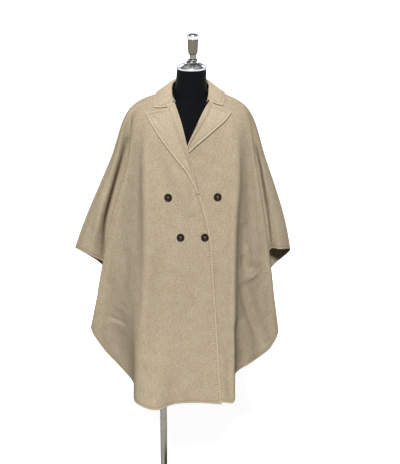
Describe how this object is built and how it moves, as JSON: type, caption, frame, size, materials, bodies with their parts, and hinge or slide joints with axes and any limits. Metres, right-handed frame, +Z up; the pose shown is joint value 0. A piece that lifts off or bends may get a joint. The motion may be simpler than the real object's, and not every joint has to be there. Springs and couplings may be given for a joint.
{
  "type": "wool cape on a limbless dress form with a stand",
  "caption": "Knee-length double-breasted wool cape with peaked lapels, a turned-down collar and loose sleeves, worn by a dress form on a pole stand.",
  "frame": {"origin": "centre of the base plate's underside, straight under the neck", "axes": "+Z up, the front faces -Y and +X is the wearer's left"},
  "size_m": [0.72, 0.468, 1.6603],
  "materials": {
    "front_right": "brushed double-faced wool",
    "front_left": "brushed double-faced wool",
    "back": "brushed double-faced wool",
    "lapel_right": "brushed double-faced wool",
    "lapel_left": "brushed double-faced wool",
    "collar": "brushed double-faced wool",
    "button_upper_right": "polished horn",
    "button_upper_left": "polished horn",
    "button_lower_right": "polished horn",
    "button_lower_left": "polished horn",
    "dress_form": "black jersey cover",
    "neck_cap": "polished",
    "finial": "satin grip, polished top",
    "pole": "brushed",
    "base_plate": "brushed"
  },
  "bodies": {
    "root": {"front_right": "front_right", "front_left": "front_left", "back": "back", "lapel_right": "lapel_right", "lapel_left": "lapel_left", "collar": "collar", "button_upper_right": "button_upper_right", "button_upper_left": "button_upper_left", "button_lower_right": "button_lower_right", "button_lower_left": "button_lower_left", "dress_form": "dress_form", "neck_cap": "neck_cap", "finial": "finial", "pole": "pole", "base_plate": "base_plate"}
  },
  "joints": []
}
